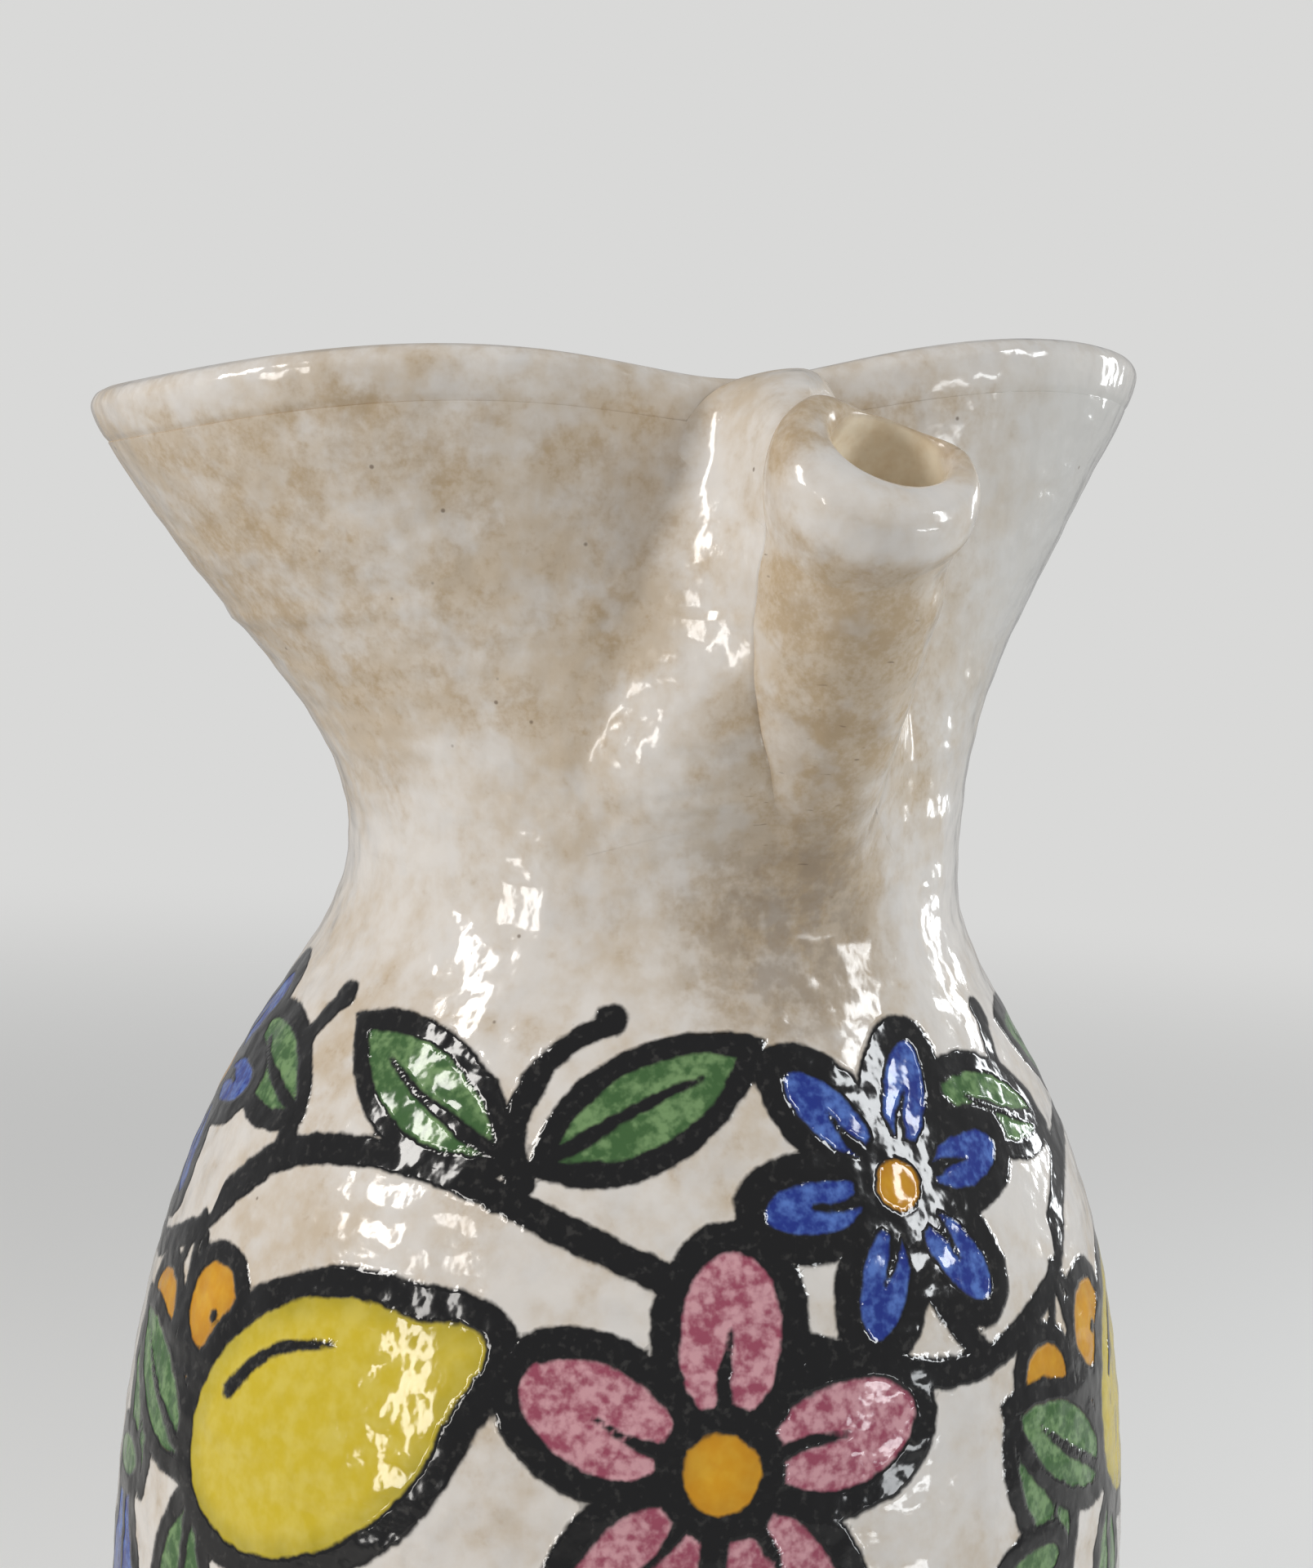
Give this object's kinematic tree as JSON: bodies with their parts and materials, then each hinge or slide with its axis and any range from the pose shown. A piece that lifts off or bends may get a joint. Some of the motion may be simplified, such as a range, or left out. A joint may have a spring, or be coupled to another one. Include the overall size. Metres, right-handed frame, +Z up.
{
  "type": "spouted jug",
  "caption": "Thrown and glazed jug with an ovoid body, a waisted neck, a wide mouth pinched into lobes, a tubular spout at the front and a strap handle at the back.",
  "frame": {"origin": "centre of the foot ring on the table", "axes": "+Z up along the body's axis, -Y towards the spout, +Y towards the handle, +X to the right of someone facing the spout"},
  "size_m": [0.1388, 0.1557, 0.274],
  "materials": {
    "white_glaze": "glossy cream-white tin glaze with tan mottling",
    "painted_glaze": "glossy cream-white tin glaze with brush-painted decoration under the gloss",
    "bare_clay": "bare buff clay, matt"
  },
  "bodies": {
    "root": {"foot_ring": "bare_clay", "base_slab": "bare_clay", "lower_body": "painted_glaze", "belly_join_coil": "white_glaze", "upper_body": "painted_glaze", "neck_collar": "painted_glaze", "pinched_mouth": "white_glaze", "rim_band": "white_glaze", "spout_tube": "white_glaze", "spout_lip": "white_glaze", "spout_web": "white_glaze", "left_seam_coil": "white_glaze", "right_seam_coil": "white_glaze", "spout_root_pad": "white_glaze", "handle_strap": "white_glaze", "handle_top_pad": "white_glaze", "handle_foot_pad": "white_glaze"}
  },
  "joints": []
}
